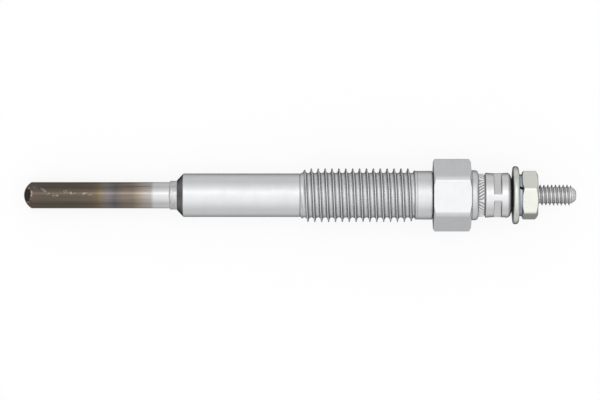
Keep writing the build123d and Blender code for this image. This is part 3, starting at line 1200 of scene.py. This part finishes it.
@dataclass
class Heater:
    """The heater: its closed sheath, with the coils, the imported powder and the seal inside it.

    Attributes:
        radius: The sheath's radius.
        wall: How thick the sheath and its floor are.
        tip_radius: The radius of the dome.
        columns: How many columns the sheath has.
        dome_rings: How many rings the dome has.
        dome_share: How far the last of them reaches over it.
        seat_x: Where the sheath comes out of the housing.
        collar_radius: The radius of the collar there.
        collar_show: How much of the collar shows.
        collar_step: How long its step is on the inside.
        collar_edge: The collar's front edge, as places past its start and shares of its height.
        collar_waves: How that edge wanders round the sheath.
        guard: How far from its ends the drawn part has a ring that keeps its shading straight.
        collar_guard: The same for the collar, at both its ends.
        weld_radius: The radius of the weld pool on the floor.
        weld_depth: How high the pool stands.
        floor_taper: How far the floor tapers up to the wall.
    """

    radius: float = 2.39
    wall: float = 0.6
    tip_radius: float = 2.75
    columns: int = 96
    dome_rings: int = 13
    dome_share: float = 0.985
    seat_x: float = -1.158
    collar_radius: float = 2.61
    collar_show: float = 1.37
    collar_step: float = 0.16
    collar_edge: tuple[Pair, ...] = (
        (-0.07, -0.05),
        (-0.02, -0.06),
        (0.02, 0.0),
        (0.1, 0.8),
        (0.17, 1.0),
    )
    collar_waves: Waves = ((0.05, 3, 0.4), (0.03, 7, 0.0))
    guard: Pair = (0.08, 0.3)
    collar_guard: Pair = (0.35, 0.05)
    weld_radius: float = 0.55
    weld_depth: float = 0.3
    floor_taper: float = 0.8

    def sheath(self) -> bpy.types.Mesh:
        """Turn the sheath, with its dome outside and its room inside.

        Returns:
            The sheath's mesh.
        """
        tip, end = span("glow_tube")
        skin = Skin(even_columns(self.columns))
        skin.ring(tip, 0.0)
        widest = math.asin(self.radius / self.tip_radius)
        for number in range(1, self.dome_rings + 1):
            turn = widest * min(number / self.dome_rings, self.dome_share)
            x = tip + self.tip_radius * (1 - math.cos(turn))
            skin.ring(x, self.tip_radius * math.sin(turn))
        dome_end = tip + self.tip_radius * (1 - math.cos(widest))
        collar = self.seat_x - self.collar_show
        near, far = self.guard
        skin.follow([(x, self.radius) for x in (dome_end + near, dome_end + far, collar - far)])
        waves = ripple(skin.angles, self.collar_waves)
        for past, share in self.collar_edge:
            rise = (self.collar_radius - self.radius) * share
            skin.ring(collar + past + waves, self.radius + rise)
        skin.ring(collar + self.collar_guard[0], self.collar_radius)
        skin.ring(self.seat_x - self.collar_guard[1], self.collar_radius)
        room, wide_room = self.radius - self.wall, self.collar_radius - self.wall
        floor = tip + self.wall
        skin.follow(
            [
                (end, self.collar_radius),
                (end, wide_room),
                (collar + self.collar_step, wide_room),
                (collar, room),
                (floor + self.floor_taper, room),
                (floor, room - self.floor_taper),
                (floor, self.weld_radius),
                (floor + self.weld_depth, self.weld_radius),
                (floor + self.weld_depth, 0.0),
            ]
        )
        return skin.mesh("glow_tube_sheath", closed=False)

    def build(self) -> None:
        """Build and dress the heater."""
        tint = HeatTint(
            "heat_tinted_sheath",
            paint(197, 197, 199),
            paint(187, 187, 188),
            0.3,
            depth=0.003,
            rim=0.5,
            radius=self.radius,
        )
        wire = Finish(
            "resistance_wire", paint(131, 124, 117), paint(89, 84, 82), 0.4, grain=Grain.TUMBLED
        )
        powder = Finish(
            "packed_magnesia",
            paint(226, 224, 218),
            paint(206, 203, 196),
            0.9,
            metallic=0.0,
            grain=Grain.TUMBLED,
            depth=0.02,
            rim=1.0,
        )
        rubber = Finish(
            "seal_rubber",
            grey(38),
            grey(26),
            0.6,
            metallic=0.0,
            grain=Grain.MOULDED,
            depth=0.01,
            rim=1.0,
        )
        add_piece(self.sheath(), tint, "glow_tube")
        for node in ("heating_coil", "control_coil"):
            dress_solid(node, wire)
        dress_solid("magnesia_filling", powder)
        for node in ("sheath_seal", "o_ring"):
            dress_solid(node, rubber)


@dataclass
class Housing:
    """The housing: sealing cone, barrel, engine thread, shoulder, hexagon and lip, in one piece.

    Attributes:
        seat_x: Where the sealing cone starts along the axis.
        seat_radius: Its radius there.
        seat_round: The rounding of its front edge.
        edge_round: The rounding of the other turned edges.
        grip_radius: The radius of the bore that grips the sheath.
        grip_end: Where that bore ends.
        barrel_radius: The barrel's radius.
        thread_x: Where the barrel ends.
        nick_depth: How deep the nick is in front of the thread.
        nick_front: How far before the barrel's end the nick starts, and how far it is down.
        thread_gap: How far past the barrel's end the first crest starts.
        lead_height: How high it starts over the barrel.
        lead_slope: How fast the crests rise from there.
        thread_end: Where the thread ends at the shoulder.
        crest_slope: How fast the crests come down to the shoulder.
        root_slope: How fast the roots rise to it.
        shoulder_radius: The shoulder's radius.
        shoulder_line: The turned line on the shoulder, as places past the thread and depths.
        shoulder_end: Where the shoulder ends.
        shoulder_round: The rounding of its rear edge.
        groove_radius: The radius of the groove between shoulder and hexagon.
        fine_round: The rounding of the groove's bottom and of the nick's edge.
        hex_x: Where the hexagon starts.
        hex_end: Where it ends.
        lip_radius: The radius of the rolled lip.
        lip_end: Where the lip ends.
        lip_round: The rounding of its rear edge.
        lip_neck: The neck before the lip, as places past the hexagon, depths and roundings.
        main_bore: The radius of the bore behind the sheath.
        bore_cone: How long the cone is between the two bores.
        rear_bore: The radius of the bore that takes the insulator.
        rear_bore_x: Where that bore starts.
        thread: The engine thread.
        hexagon: The hexagon.
    """

    seat_x: float = -1.158
    seat_radius: float = 2.73
    seat_round: float = 0.04
    edge_round: float = 0.05
    grip_radius: float = 2.61
    grip_end: float = 17.0
    barrel_radius: float = 3.95
    thread_x: float = 21.15
    nick_depth: float = 0.09
    nick_front: Pair = (0.12, 0.02)
    thread_gap: float = 0.06
    lead_height: float = 0.03
    lead_slope: float = 0.85
    thread_end: float = 42.1
    crest_slope: float = 0.42
    root_slope: float = 1.3
    shoulder_radius: float = 4.42
    shoulder_line: tuple[Pair, ...] = ((0.0, 0.0), (0.24, 0.0), (0.3, 0.06), (0.38, 0.01))
    shoulder_end: float = 45.15
    shoulder_round: float = 0.28
    groove_radius: float = 4.05
    fine_round: float = 0.03
    hex_x: float = 45.3
    hex_end: float = 52.1
    lip_radius: float = 4.55
    lip_end: float = 53.43
    lip_round: float = 0.55
    lip_neck: tuple[Triple, ...] = ((0.0, 0.1, 0.0), (0.05, 0.13, 0.05), (0.2, 0.0, 0.1))
    main_bore: float = 2.9
    bore_cone: float = 0.5
    rear_bore: float = 3.3
    rear_bore_x: float = 48.68
    thread: Thread = Thread(1.25, 4.87, 4.03, 0.1, 0.04, 0.0, 11.0, 23.21)
    hexagon: Hexagon = Hexagon(
        11.8,
        13.14,
        0.0,
        12.3,
        12.1,
        0.03,
        (0, 2, 3.8, 4.3, 5.5, 8, 10.5, 13, 15.5, 18, 20.5, 23, 25.3, 27.6, 30),
    )

    def crests(self, x: np.ndarray) -> np.ndarray:
        """Give the radius that the thread's crests reach, with both ends running out.

        Args:
            x: Places along the axis.

        Returns:
            The largest radius at each of them.
        """
        start = self.thread_x + self.thread_gap
        lead = self.barrel_radius + self.lead_height + self.lead_slope * (x - start)
        return np.minimum(lead, self.shoulder_radius + self.crest_slope * (self.thread_end - x))

    def roots(self, x: np.ndarray) -> np.ndarray:
        """Give the radius that the thread's roots reach, rising to the shoulder at the end."""
        run_out = self.shoulder_radius - self.root_slope * (self.thread_end - x)
        return np.maximum(np.minimum(run_out, self.shoulder_radius), self.barrel_radius)

    def shell(self) -> bpy.types.Mesh:
        """Turn, thread and mill the housing, outside and inside.

        Returns:
            The housing's mesh.
        """
        skin = Skin(self.hexagon.columns())
        front = (
            Outline()
            .to(self.seat_x, self.grip_radius)
            .to(self.seat_x, self.seat_radius, self.seat_round)
            .to(0.0, self.barrel_radius, self.edge_round)
            .to(self.thread_x - self.nick_front[0], self.barrel_radius, self.fine_round)
            .to(self.thread_x - self.nick_front[1], self.barrel_radius - self.nick_depth)
        )
        skin.follow(front.points())
        start, end = self.thread_x + self.thread_gap, self.thread_end
        skin.ring(start, self.barrel_radius)
        self.thread.wind(skin, start, end, self.crests, self.roots)
        back = Outline()
        for past, depth in self.shoulder_line:
            back.to(end + past, self.shoulder_radius - depth)
        back.to(self.shoulder_end, self.shoulder_radius, self.shoulder_round)
        back.to(self.shoulder_end, self.groove_radius, self.fine_round)
        back.to(self.hex_x, self.groove_radius)
        skin.follow(back.points())
        self.hexagon.raise_on(skin, self.hex_x, self.hex_end)
        tail = Outline()
        for past, depth, rounding in self.lip_neck:
            tail.to(self.hex_end + past, self.lip_radius - depth, rounding)
        tail.to(self.lip_end, self.lip_radius, self.lip_round)
        tail.to(self.lip_end, self.rear_bore, self.edge_round)
        tail.to(self.rear_bore_x, self.rear_bore)
        tail.to(self.rear_bore_x, self.main_bore, self.edge_round)
        tail.to(self.grip_end + self.bore_cone, self.main_bore)
        tail.to(self.grip_end, self.grip_radius)
        skin.follow(tail.points())
        return skin.mesh("body_shell_plated", closed=True)

    def build(self) -> None:
        """Build and dress the housing."""
        plate = PlatedSteel("plated_steel", paint(206, 206, 207), paint(195, 197, 198), 0.4, rim=0.0)
        add_piece(self.shell(), plate, "body_shell")


@dataclass
class Terminal:
    """The terminal: rod with its stud, insulator and crimped ferrule.

    Attributes:
        rod_radius: The radius of the rod's shank.
        rod_round: The rounding of its edges.
        rod_columns: How many columns it has.
        neck_radius: The radius of its neck inside the sheath.
        neck_cone: How long the cone is from the tip to the neck.
        tip_radius: The radius of its tip, which the rear coil holds.
        tip_length: How long that tip is.
        sheath_end: Where the sheath ends around it.
        stud: The stud's thread.
        stud_step: How much smaller the stud is at the insulator.
        stud_gap: How far behind the insulator its thread starts.
        crest_start: How high over the roots the last crest starts at the lead end.
        crest_slope: How fast it rises from there.
        lead_length: How long the unthreaded lead end is.
        lead_end: The lead end, as places past the thread and radii.
        lead_dents: The waves that dent it.
        dents_x: The place past the thread where the dents are full.
        nose: The radius of its last dented ring, and of its flat end.
        nose_round: How long the rounding is between them.
        flange_x: Where the insulator's flange starts.
        flange_end: Where it ends.
        flange_radius: The flange's radius.
        flange_step: How much smaller it is where it touches the housing.
        flange_edge: Its rear edge, as places before its end and depths.
        insert_radius: The radius of the insulator's insert.
        knurl_count: How many grooves the knurl has.
        knurl_columns: How many columns each of them has.
        knurl_depth: How deep they are.
        knurl_ends: How far from the flange's two ends the knurl stops.
        knurl_rows: How many steps it is made in.
        knurl_middle: The middle height of the knurl's waves, as a share of the grooves' depth.
        knurl_swing: How far the waves swing up and down from there, cut off at 0 and 1.
        knurl_slant: The waves round the flange that say to which side the grooves slant.
        knurl_drift: The waves that make the grooves uneven.
        ferrule_radius: The ferrule's radius at its ends.
        ferrule_waist: Its radius in the middle.
        ferrule_edge: Its front edge, as places past its start and depths.
        ferrule_start: How far past its start the waisted part begins.
        dome: Its rear dome, as places before its end, radii and roundings.
        ferrule_end: Where it ends.
        crimp_flat: How far the pressed flats are from the axis.
        crimp_width: How wide they are along it.
        crimp_from_front: Where their middle is, from the ferrule's front.
        crimp_turn: The angle of the first flat, in degrees.
        crimp_wall: The wall of a flat, as places inside it and shares of its depth.
        crimp_inset: How far the rings beside and inside a flat stay away from its wall.
        crimp_rings: How many rings lie beside a flat on each side, and inside it.
        crimp_round: How far a flat's long edges are rounded over.
        crimp_fine: The columns from the middle of a flat to the middle between two, in degrees.
    """

    rod_radius: float = 1.75
    rod_round: float = 0.1
    rod_columns: int = 64
    neck_radius: float = 1.25
    neck_cone: float = 0.3
    tip_radius: float = 1.08
    tip_length: float = 2.4
    sheath_end: float = 17.0
    stud: Thread = Thread(0.7, 1.92, 1.44, 0.0, 0.03, 0.05, 22.0, 65.42, 3)
    stud_step: float = 0.3
    stud_gap: float = 0.02
    crest_start: float = 0.06
    crest_slope: float = 5.0
    lead_length: float = 0.9
    lead_end: tuple[Pair, ...] = ((0.06, 1.45), (0.3, 1.3), (0.5, 1.12), (0.68, 0.99), (0.8, 0.83))
    lead_dents: Waves = ((0.04, 5, 0.7), (0.03, 9, 0.0))
    dents_x: float = 0.5
    nose: Pair = (0.55, 0.3)
    nose_round: float = 0.02
    flange_x: float = 53.43
    flange_end: float = 54.63
    flange_radius: float = 3.92
    flange_step: float = 0.14
    flange_edge: tuple[Pair, ...] = ((0.18, 0.2), (0.0, 0.24))
    insert_radius: float = 3.27
    knurl_count: int = 38
    knurl_columns: int = 8
    knurl_depth: float = 0.2
    knurl_ends: Pair = (0.06, 0.22)
    knurl_rows: int = 10
    knurl_middle: float = 0.75
    knurl_swing: float = 0.9
    knurl_slant: Waves = ((2.0, 3, 0.9),)
    knurl_drift: Waves = ((0.8, 5, 0.0),)
    ferrule_radius: float = 4.09
    ferrule_waist: float = 3.975
    ferrule_edge: tuple[Pair, ...] = ((0.0, 0.34), (0.05, 0.2), (0.14, 0.05))
    ferrule_start: float = 0.3
    dome: tuple[Triple, ...] = ((0.8, 4.09, 0.0), (0.38, 3.87, 0.5), (0.1, 3.25, 0.5), (0.0, 2.6, 0.0))
    ferrule_end: float = 59.53
    crimp_flat: float = 3.19
    crimp_width: float = 1.45
    crimp_from_front: float = 2.3
    crimp_turn: float = 139.6
    crimp_wall: tuple[Pair, ...] = ((-0.03, 0.0), (0.0, 0.04), (0.03, 0.4), (0.09, 1.0))
    crimp_inset: Pair = (0.1, 0.25)
    crimp_rings: tuple[int, int] = (6, 4)
    crimp_round: float = 0.05
    crimp_fine: tuple[float, ...] = (0, 6, 12, 18, 24, 29, 33, 35.5, 37, 38.3, 39.6, 41.5, 45)

    def rod(self) -> bpy.types.Mesh:
        """Turn the rod: tip, neck, shank, threaded stud and worn lead end.

        Returns:
            The rod's mesh.
        """
        tip, end = span("centre_rod")
        stop = end - self.lead_length
        skin = Skin(even_columns(self.rod_columns))
        neck_x = tip + self.tip_length
        front = (
            Outline()
            .to(tip, 0.0)
            .to(tip, self.tip_radius, self.rod_round)
            .to(neck_x, self.tip_radius)
            .to(neck_x + self.neck_cone, self.neck_radius)
            .to(self.sheath_end, self.neck_radius)
            .to(self.sheath_end, self.rod_radius, self.rod_round)
            .to(self.flange_end, self.rod_radius)
            .to(self.flange_end, self.stud.crest - self.stud_step)
        )
        skin.follow(front.points())

        def crests(x: np.ndarray) -> np.ndarray:
            """Give the radius that the crests reach, with the last one run down."""
            run_down = self.stud.root + self.crest_start + self.crest_slope * (stop - x)
            return np.minimum(self.stud.crest, run_down)

        def roots(x: np.ndarray) -> np.ndarray:
            """Give the radius that the roots reach."""
            return np.full_like(x, self.stud.root)

        self.stud.wind(skin, self.flange_end + self.stud_gap, stop, crests, roots)
        dents = ripple(skin.angles, self.lead_dents)
        for past, radius in self.lead_end:
            skin.ring(stop + past, radius + dents * (1 - abs(past - self.dents_x)))
        skin.ring(end - self.nose_round, self.nose[0] + dents)
        skin.follow([(end, self.nose[1]), (end, 0.0)])
        return skin.mesh("centre_rod_stud", closed=False)

    def bush(self) -> bpy.types.Mesh:
        """Mould the insulator, with its slanting knurl round the flange.

        Returns:
            The insulator's mesh.
        """
        start, _ = span("insulator_bush")
        skin = Skin(even_columns(self.knurl_count * self.knurl_columns))
        skin.follow(
            [
                (start, self.rod_radius),
                (start, self.insert_radius),
                (self.flange_x, self.insert_radius),
                (self.flange_x, self.flange_radius - self.flange_step),
            ]
        )
        side = np.clip(ripple(skin.angles, self.knurl_slant), -1.0, 1.0)
        phase = self.knurl_count * skin.angles + ripple(skin.angles, self.knurl_drift)
        first, last = self.flange_x + self.knurl_ends[0], self.flange_end - self.knurl_ends[1]
        for share in np.linspace(0.0, 1.0, self.knurl_rows + 1):
            wave = np.cos(phase - FULL_TURN * (share - 0.5) * side)
            height = np.clip(self.knurl_middle + self.knurl_swing * wave, 0.0, 1.0)
            radius = self.flange_radius - self.knurl_depth * (1 - height)
            skin.ring(first + (last - first) * share, radius)
        for before, depth in self.flange_edge:
            skin.ring(self.flange_end - before, self.flange_radius - depth)
        skin.ring(self.flange_end, self.rod_radius)
        return skin.mesh("insulator_bush_knurled", closed=True)

    def ferrule(self) -> bpy.types.Mesh:
        """Turn the waisted ferrule and press it flat on four sides.

        Returns:
            The ferrule's mesh.
        """
        skin = Skin(flat_columns(4, self.crimp_turn, self.crimp_fine))
        start = self.flange_end
        front, back = start + self.ferrule_start, self.ferrule_end - self.dome[0][0]
        left = start + self.crimp_from_front - self.crimp_width / 2
        right = left + self.crimp_width
        beside, inside = self.crimp_inset
        outer, inner = self.crimp_rings
        stations = [(x, 0.0) for x in np.linspace(front, left - beside, outer)]
        stations += [(left + past, share) for past, share in self.crimp_wall]
        stations += [(x, 1.0) for x in np.linspace(left + inside, right - inside, inner)]
        stations += [(right - past, share) for past, share in reversed(self.crimp_wall)]
        stations += [(x, 0.0) for x in np.linspace(right + beside, back, outer)]
        sector = FULL_TURN / 4
        from_flat = np.mod(skin.angles - math.radians(self.crimp_turn) + sector / 2, sector)
        flat = self.crimp_flat / np.cos(from_flat - sector / 2)

        skin.ring(start, self.stud.crest)
        skin.follow([(start + past, self.ferrule_radius - depth) for past, depth in self.ferrule_edge])
        for x, pressed in stations:
            from_middle = (2 * x - front - back) / (back - front)
            flare = (self.ferrule_radius - self.ferrule_waist) * from_middle**2
            barrel = self.ferrule_waist + flare
            crimped = lower_of(flat, barrel, self.crimp_round)
            skin.ring(x, barrel + (crimped - barrel) * pressed)
        dome = Outline(arc_steps=6)
        for before, radius, rounding in self.dome:
            dome.to(self.ferrule_end - before, radius, rounding)
        dome.to(self.ferrule_end, self.stud.crest)
        skin.follow(dome.points()[1:])
        return skin.mesh("crimp_ferrule_pressed", closed=True)

    def build(self) -> None:
        """Build and dress the terminal."""
        steel = WornSteel("rod_steel", grey(217), grey(195), 0.3, rim=0.0)
        insulator = Knurled(
            "moulded_insulator",
            grey(226),
            grey(197),
            0.4,
            metallic=0.6,
            grain=Grain.MOULDED,
            depth=0.02,
            rim=0.3,
        )
        nickel = Finish("ferrule_steel", paint(207, 207, 208), paint(197, 197, 199), 0.34)
        add_piece(self.rod(), steel, "centre_rod")
        add_piece(self.bush(), insulator, "insulator_bush")
        add_piece(self.ferrule(), nickel, "crimp_ferrule")


@dataclass
class Fastening:
    """What holds the lead's lug on the stud: flat washer, split lock washer and nut.

    Attributes:
        washer_radius: The flat washer's radius.
        washer_columns: How many columns it has.
        washer_hole: The radius of its hole.
        washer_face: How far round the hole its front is flat.
        washer_dish: How far its front rim is dished back.
        washer_rounds: The roundings of its front rim, its back rim and its hole.
        seam: How far from its hole the flat washer's outline is closed, and the lock washer's.
        spring_radius: The lock washer's radius.
        spring_hole: The radius of its hole.
        spring_rounds: The roundings of its rims and of its hole.
        spring_gap: How wide its split is.
        spring_slant: How far the split slants, in degrees.
        spring_turn: The angle of the split round the axis, in degrees.
        spring_columns: How many columns it has.
        bore_radius: The radius of the nut's bore.
        countersink: How deep and wide the bore is countersunk.
        hexagon: The nut's hexagon.
    """

    washer_radius: float = 5.275
    washer_columns: int = 120
    washer_hole: float = 2.15
    washer_face: float = 0.6
    washer_dish: float = 0.22
    washer_rounds: Triple = (0.34, 0.58, 0.08)
    seam: Pair = (0.1, 0.2)
    spring_radius: float = 3.8
    spring_hole: float = 2.05
    spring_rounds: Pair = (0.08, 0.05)
    spring_gap: float = 0.5
    spring_slant: float = 25.0
    spring_turn: float = 68.0
    spring_columns: int = 97
    bore_radius: float = 1.94
    countersink: float = 0.25
    hexagon: Hexagon = Hexagon(
        8.0, 9.1, 13.1, 8.2, 7.6, 0.06, (0, 1.5, 3, 5, 8, 11, 14, 17, 20, 23, 26, 28, 30)
    )

    def washer(self) -> bpy.types.Mesh:
        """Stamp the flat washer, dished in front and with its rim rolled over behind.

        Returns:
            The flat washer's mesh.
        """
        front, back = span("flat_washer")
        skin = Skin(even_columns(self.washer_columns))
        rim, hole = self.washer_radius, self.washer_hole
        front_round, back_round, hole_round = self.washer_rounds
        outline = (
            Outline(arc_steps=6)
            .to(front, hole + self.seam[0])
            .to(front, hole + self.washer_face)
            .to(front + self.washer_dish, rim, front_round)
            .to(back, rim, back_round)
            .to(back, hole, hole_round)
            .to(front, hole, hole_round)
            .to(front, hole + self.seam[0])
        )
        skin.follow(outline.points()[:-1])
        return skin.mesh("flat_washer_stamped", closed=True)

    def lock_washer(self) -> bpy.types.Mesh:
        """Bend the lock washer, with its two slanting cut ends.

        Returns:
            The lock washer's mesh.
        """
        front, back = span("lock_washer")
        middle = (front + back) / 2
        gap = self.spring_gap / self.spring_radius
        lean = math.tan(math.radians(self.spring_slant)) / self.spring_radius
        skin = Skin(np.linspace(0.0, 1.0, self.spring_columns) * (FULL_TURN - gap))
        rim, hole = self.spring_radius, self.spring_hole
        rim_round, hole_round = self.spring_rounds
        outline = (
            Outline()
            .to(front, hole + self.seam[1])
            .to(front, rim, rim_round)
            .to(back, rim, rim_round)
            .to(back, hole, hole_round)
            .to(front, hole, hole_round)
            .to(front, hole + self.seam[1])
        )
        for x, radius in outline.points()[:-1]:
            cut = math.radians(self.spring_turn) + gap / 2 + lean * (x - middle)
            skin.ring(x, radius, cut + skin.angles)
        return skin.mesh("lock_washer_split", closed=True)

    def nut(self) -> bpy.types.Mesh:
        """Mill the nut, chamfered outside and countersunk at both ends of its bore.

        Returns:
            The nut's mesh.
        """
        front, back = span("hex_nut")
        skin = Skin(self.hexagon.columns())
        mouth = self.bore_radius + self.countersink
        skin.ring(front, mouth)
        self.hexagon.raise_on(skin, front, back)
        skin.ring(back, mouth)
        skin.ring(back - self.countersink, self.bore_radius)
        skin.ring(front + self.countersink, self.bore_radius)
        return skin.mesh("hex_nut_chamfered", closed=True)

    def build(self) -> None:
        """Build and dress the washers and the nut."""
        zinc = Finish(
            "washer_zinc", paint(219, 221, 216), paint(176, 181, 174), 0.3, grain=Grain.TUMBLED
        )
        blue = Finish(
            "spring_steel", paint(162, 170, 181), paint(142, 149, 162), 0.32, grain=Grain.TUMBLED
        )
        straw = Finish(
            "nut_zinc", paint(217, 216, 209), paint(203, 207, 199), 0.34, grain=Grain.DRAWN
        )
        add_piece(self.washer(), zinc, "flat_washer")
        add_piece(self.lock_washer(), blue, "lock_washer")
        add_piece(self.nut(), straw, "hex_nut")


@dataclass
class Studio:
    """The floor, the soft light and the camera.

    Attributes:
        distance: From the camera to the plug's axis, in mm.
        field_width: What the image shows across at the axis, in mm.
        sensor: The width of the camera's sensor.
        clip: The nearest and the farthest that the camera sees, in metres.
        aim_x: The place along the axis that the image's middle shows.
        aim_y: How far that is to the side of the axis.
        tilt: How far the camera leans from straight above, in degrees.
        rest_front: A point of the barrel's front edge that lies on the floor, as x and z.
        rest_back: A point of the hexagon's front edge that lies on the floor, as x and z.
        floor_reach: How far the floor reaches to each side, in mm.
        floor_colour: The floor's colour as the plug's light meets it.
        floor_seen: How much white stands for that colour where the floor is seen or mirrored.
        horizon: How bright the surroundings are at the floor's height.
        zenith: How bright they are straight above.
        rise: The power of the height by which they get brighter.
        ends: How much darker they are beyond the plug's two ends.
        ends_start: From which share of a direction along the plug that is so, and where fully.
        lamp_height: How high the softbox hangs, in mm.
        lamp_size: Its length and width, in mm.
        lamp_level: How bright it is.
        lamp_lean: How far it hangs behind the plug, as a share of its height.
    """

    distance: float = 700.0
    field_width: float = 108.9
    sensor: float = 36.0
    clip: Pair = (0.01, 100.0)
    aim_x: float = 21.14
    aim_y: float = -0.87
    tilt: float = 2.0
    rest_front: Pair = (0.0, -3.95)
    rest_back: Pair = (45.3, -5.9)
    floor_reach: float = 2000.0
    floor_colour: Colour = grey(231)
    floor_seen: float = 0.85
    horizon: float = 0.8
    zenith: float = 1.6
    rise: float = 1.6
    ends: float = 0.1
    ends_start: Pair = (0.2, 1.0)
    lamp_height: float = 560.0
    lamp_size: Pair = (300.0, 150.0)
    lamp_level: float = 0.85
    lamp_lean: float = 0.34

    def floor(self) -> None:
        """Lay the floor under the two edges that the plug rests on."""
        run = self.rest_back[0] - self.rest_front[0]
        drop = self.rest_back[1] - self.rest_front[1]
        mesh = bpy.data.meshes.new("floor")
        corners = []
        for x, y in ((-1, -1), (1, -1), (1, 1), (-1, 1)):
            along = x * self.floor_reach
            height = self.rest_front[1] + (along - self.rest_front[0]) * drop / run
            corners.append((along * MM, y * self.floor_reach * MM, height * MM))
        mesh.from_pydata(corners, [], [(0, 1, 2, 3)])
        mesh.materials.append(self.floor_material())
        add_object("floor", mesh)

    def floor_material(self) -> bpy.types.Material:
        """Paint the floor: white to the camera and in reflections, with a soft shadow.

        Returns:
            The floor's material.
        """
        material = bpy.data.materials.new("floor")
        graph = Graph(material)
        rays = graph.node("ShaderNodeLightPath", output="Is Camera Ray")
        seen = (rays + rays.other("Is Glossy Ray") + rays.other("Is Transmission Ray")).held()
        matt = graph.node("ShaderNodeBsdfDiffuse", sockets={"Color": self.floor_colour})
        white = graph.node("ShaderNodeEmission", sockets={"Color": WHITE, "Strength": 1.0})
        top = graph.node(
            "ShaderNodeMixShader", sockets={0: seen * self.floor_seen, 1: matt, 2: white}
        )
        clear = graph.node("ShaderNodeBsdfTransparent")
        below = graph.node("ShaderNodeNewGeometry", output="Backfacing")
        surface = graph.node("ShaderNodeMixShader", sockets={0: below, 1: top, 2: clear})
        graph.node("ShaderNodeOutputMaterial", sockets={"Surface": surface})
        return material

    def world(self) -> None:
        """Light the plug from all round, brightest overhead and faint towards its two ends."""
        world = bpy.data.worlds.new("studio")
        bpy.context.scene.world = world
        graph = Graph(world)
        along, _, up = graph.split(graph.node("ShaderNodeTexCoord", output="Generated"))
        level = self.horizon + (self.zenith - self.horizon) * up.held() ** self.rise
        level = level * (1.0 - self.ends * abs(along).step(*self.ends_start))
        light = graph.node("ShaderNodeBackground", sockets={"Color": WHITE, "Strength": level})
        graph.node("ShaderNodeOutputWorld", sockets={"Surface": light})

    def lamp(self) -> None:
        """Hang the softbox over the plug, just behind the camera."""
        data = bpy.data.lights.new("softbox", "AREA")
        data.shape = "RECTANGLE"
        data.size, data.size_y = self.lamp_size[0] * MM, self.lamp_size[1] * MM
        data.energy = self.lamp_level * math.pi * data.size * data.size_y
        softbox = add_object("softbox", data)
        softbox.location = Vector((self.aim_x, self.lamp_lean * self.lamp_height, self.lamp_height)) * MM
        softbox.rotation_euler = (-math.atan(self.lamp_lean), 0.0, 0.0)
        softbox.visible_camera = False

    def camera(self) -> None:
        """Set the camera over the plug."""
        scene = bpy.context.scene
        data = bpy.data.cameras.new("camera")
        data.sensor_width = self.sensor
        data.lens = self.sensor * self.distance / self.field_width
        data.clip_start, data.clip_end = self.clip
        lean = math.radians(self.tilt)
        back = Vector((0.0, math.sin(lean), math.cos(lean)))
        up = Vector((0.0, math.cos(lean), -math.sin(lean)))
        aim = Vector((self.aim_x, self.aim_y, 0.0))
        turn = Matrix((Vector((1.0, 0.0, 0.0)), up, back)).transposed()
        camera = add_object("camera", data)
        camera.matrix_world = Matrix.LocRotScale((aim + back * self.distance) * MM, turn, None)
        scene.camera = camera
        scene.view_settings.view_transform = "Standard"

    def build(self) -> None:
        """Build the studio."""
        self.floor()
        self.world()
        self.lamp()
        self.camera()


def main() -> None:
    """Build the plug piece by piece, then the studio round it."""
    logging.basicConfig(level=logging.INFO, format="%(message)s")
    for assembly in (Heater(), Housing(), Terminal(), Fastening()):
        LOG.info("building the %s", type(assembly).__name__.lower())
        assembly.build()
    Studio().build()


if __name__ == "__main__":
    main()
